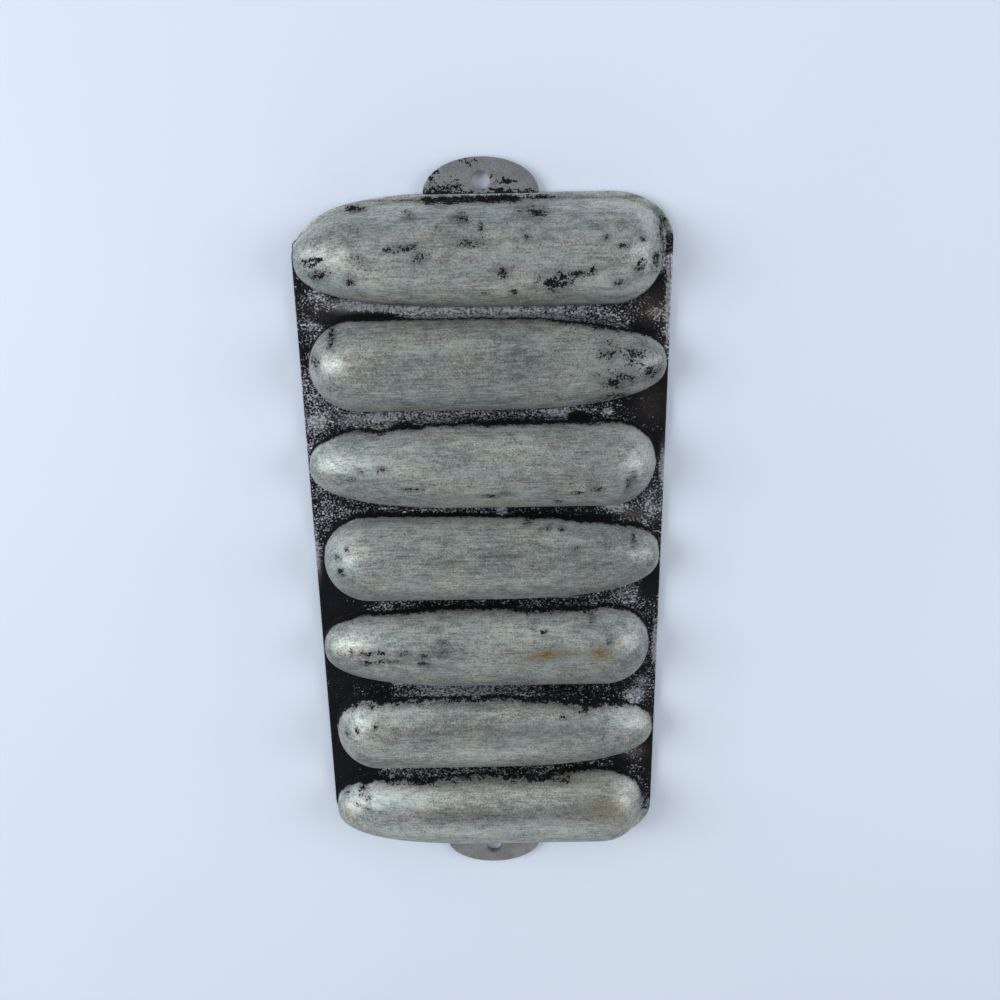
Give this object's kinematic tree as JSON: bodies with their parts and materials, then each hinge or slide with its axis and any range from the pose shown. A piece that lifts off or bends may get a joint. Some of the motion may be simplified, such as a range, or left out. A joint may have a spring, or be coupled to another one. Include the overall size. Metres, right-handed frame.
{
  "type": "corn stick pan",
  "caption": "Shallow cast baking pan with a row of corn-ear shaped cups side by side, each turned the other way, and a pierced hanging lug at each end.",
  "frame": {"origin": "middle of the flat rim plane, which the pan lies on face down", "axes": "+X across the pan along the ears, +Y along the row of ears towards one hanging lug, +Z out of the back of the pan"},
  "size_m": [0.149, 0.3238, 0.0248],
  "materials": {
    "brushed_casting": "satin, worn and brushed lengthwise",
    "blackened_web": "rough cast, blackened by baked-on residue",
    "lug_casting": "satin, specked with residue"
  },
  "bodies": {
    "root": {"ear_mould_1": "brushed_casting", "ear_mould_2": "brushed_casting", "ear_mould_3": "brushed_casting", "ear_mould_4": "brushed_casting", "ear_mould_5": "brushed_casting", "ear_mould_6": "brushed_casting", "ear_mould_7": "brushed_casting", "web_1_2": "blackened_web", "web_2_3": "blackened_web", "web_3_4": "blackened_web", "web_4_5": "blackened_web", "web_5_6": "blackened_web", "web_6_7": "blackened_web", "hanging_lug_top": "lug_casting", "hanging_lug_bottom": "lug_casting"}
  },
  "joints": []
}
